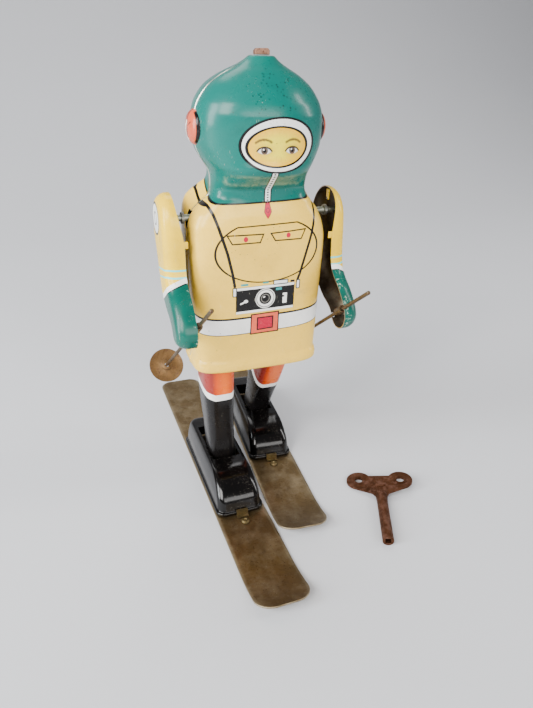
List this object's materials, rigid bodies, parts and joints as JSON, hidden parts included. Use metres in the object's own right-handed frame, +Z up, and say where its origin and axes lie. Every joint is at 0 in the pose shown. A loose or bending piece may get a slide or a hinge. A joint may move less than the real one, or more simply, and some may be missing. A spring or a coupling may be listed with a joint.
{
  "type": "wind-up tin skier",
  "caption": "Wind-up tin figure in a hooded coat on two skis, with swinging arms holding poles, sliding ankle-hinged feet, clockwork inside and a loose key.",
  "frame": {"origin": "middle of the bounding box's base, on the floor the skis stand on", "axes": "+Z up, the figure looks along -Y, its right hand is at -X"},
  "size_m": [0.1276, 0.2438, 0.2164],
  "materials": {
    "printed_body": "semi-gloss printed tin, rubbed and chipped",
    "printed_ear": "semi-gloss printed tin",
    "printed_arm": "semi-gloss printed tin, chipped at the gloves",
    "printed_leg": "semi-gloss printed tin",
    "black_enamel": "gloss black enamel with worn edges",
    "ski_brass": "dull brass-washed sheet, mottled",
    "bright_brass": "worn brass",
    "coppered_steel": "dull coppered wire and sheet",
    "blued_spring": "blued spring strip",
    "rusted_iron": "brown rusted iron",
    "plated_steel": "dull plated steel"
  },
  "bodies": {
    "figure": {"front_shell": "printed_body", "back_shell": "printed_body", "hood_tab": "coppered_steel", "right_ear_cover": "printed_ear", "left_ear_cover": "printed_ear", "right_motor_plate": "plated_steel", "left_motor_plate": "plated_steel", "upper_front_pillar": "plated_steel", "upper_rear_pillar": "plated_steel", "lower_front_pillar": "plated_steel", "inner_bridge": "plated_steel", "rear_bridge": "plated_steel", "lower_governor_bridge": "plated_steel", "upper_governor_bridge": "plated_steel", "hanger_plate": "plated_steel", "guide_pin": "plated_steel", "mainspring": "blued_spring", "ratchet_click": "plated_steel"},
    "arms": {"shoulder_rod": "plated_steel", "arm_lever": "plated_steel", "right_arm": "printed_arm", "right_shoulder_collar": "plated_steel", "right_ski_pole": "coppered_steel", "right_pole_basket": "coppered_steel", "right_pole_clip": "coppered_steel", "left_arm": "printed_arm", "left_shoulder_collar": "plated_steel", "left_ski_pole": "coppered_steel", "left_pole_basket": "coppered_steel", "left_pole_clip": "coppered_steel"},
    "right_hip": {"right_guide_bush": "bright_brass"},
    "left_hip": {"left_guide_bush": "bright_brass"},
    "right_shank": {"right_leg": "printed_leg", "right_drive_strap": "plated_steel", "right_ankle_pin": "plated_steel"},
    "left_shank": {"left_leg": "printed_leg", "left_drive_strap": "plated_steel", "left_ankle_pin": "plated_steel"},
    "right_foot": {"right_shoe": "black_enamel", "right_ski": "ski_brass", "right_ski_tongue": "bright_brass", "right_ski_rivet": "bright_brass", "right_ankle_bracket": "plated_steel"},
    "left_foot": {"left_shoe": "black_enamel", "left_ski": "ski_brass", "left_ski_tongue": "bright_brass", "left_ski_rivet": "bright_brass", "left_ankle_bracket": "plated_steel"},
    "crank": {"crankshaft": "plated_steel"},
    "crown": {"crown_wheel": "bright_brass"},
    "governor": {"governor_spindle": "plated_steel", "governor_fly": "bright_brass"},
    "winding": {"winding_arbor": "plated_steel"},
    "key": {"winding_key": "rusted_iron"}
  },
  "joints": [
    {"name": "stride", "type": "hinge", "parent": "figure", "child": "right_hip", "pos_m": [-0.03444, -0.01189, 0.082], "axis": [1, 0, 0], "range_deg": [0, 30.3]},
    {"name": "left_swing", "type": "hinge", "parent": "figure", "child": "left_hip", "pos_m": [-0.00124, -0.01189, 0.082], "axis": [1, 0, 0], "range_deg": [-30.3, 0]},
    {"name": "right_leg_slide", "type": "slide", "parent": "right_hip", "child": "right_shank", "axis": [0, -0.1038, -0.9946], "range_m": [0, 0.00635]},
    {"name": "left_leg_slide", "type": "slide", "parent": "left_hip", "child": "left_shank", "axis": [0.0172, 0.412, -0.911], "range_m": [-0.00635, 0]},
    {"name": "right_ankle", "type": "hinge", "parent": "right_shank", "child": "right_foot", "pos_m": [-0.03444, -0.01909, 0.013], "axis": [1, 0, 0], "range_deg": [-30.3, 0]},
    {"name": "left_ankle", "type": "hinge", "parent": "left_shank", "child": "left_foot", "pos_m": [0.00006, 0.01931, 0.013], "axis": [1, 0, 0], "range_deg": [0, 30.3]},
    {"name": "arm_swing", "type": "hinge", "parent": "figure", "child": "arms", "pos_m": [-0.01784, -0.02309, 0.1482], "axis": [1, 0, 0], "range_deg": [-16.7, 0]},
    {"name": "crank_turn", "type": "hinge", "parent": "figure", "child": "crank", "pos_m": [-0.01784, -0.01479, 0.105], "axis": [1, 0, 0], "range_deg": [0, 181]},
    {"name": "crown_turn", "type": "hinge", "parent": "figure", "child": "crown", "pos_m": [-0.01784, -0.01069, 0.105], "axis": [0, 1, 0], "range_deg": [-45.5, 0]},
    {"name": "governor_turn", "type": "hinge", "parent": "figure", "child": "governor", "pos_m": [-0.01784, -0.01479, 0.12], "axis": [0, 0, 1], "range_deg": [0, 181]},
    {"name": "winding", "type": "hinge", "parent": "figure", "child": "winding", "pos_m": [-0.01784, -0.00369, 0.105], "axis": [0, -1, 0], "range_deg": [0, 1440]},
    {"name": "key_lift", "type": "slide", "parent": "figure", "child": "key", "axis": [0, 0, 1], "range_m": [0, 0.05]}
  ],
  "couplings": [
    {"joint": "left_swing", "follows": "stride", "ratio": -1},
    {"joint": "right_leg_slide", "follows": "stride", "m_per_rad": 0.012},
    {"joint": "left_leg_slide", "follows": "stride", "m_per_rad": -0.012},
    {"joint": "right_ankle", "follows": "stride", "ratio": -1},
    {"joint": "left_ankle", "follows": "stride", "ratio": 1},
    {"joint": "arm_swing", "follows": "stride", "ratio": -0.548},
    {"joint": "crank_turn", "follows": "stride", "ratio": 5.94},
    {"joint": "crown_turn", "follows": "stride", "ratio": -1.485},
    {"joint": "governor_turn", "follows": "stride", "ratio": 5.94}
  ]
}
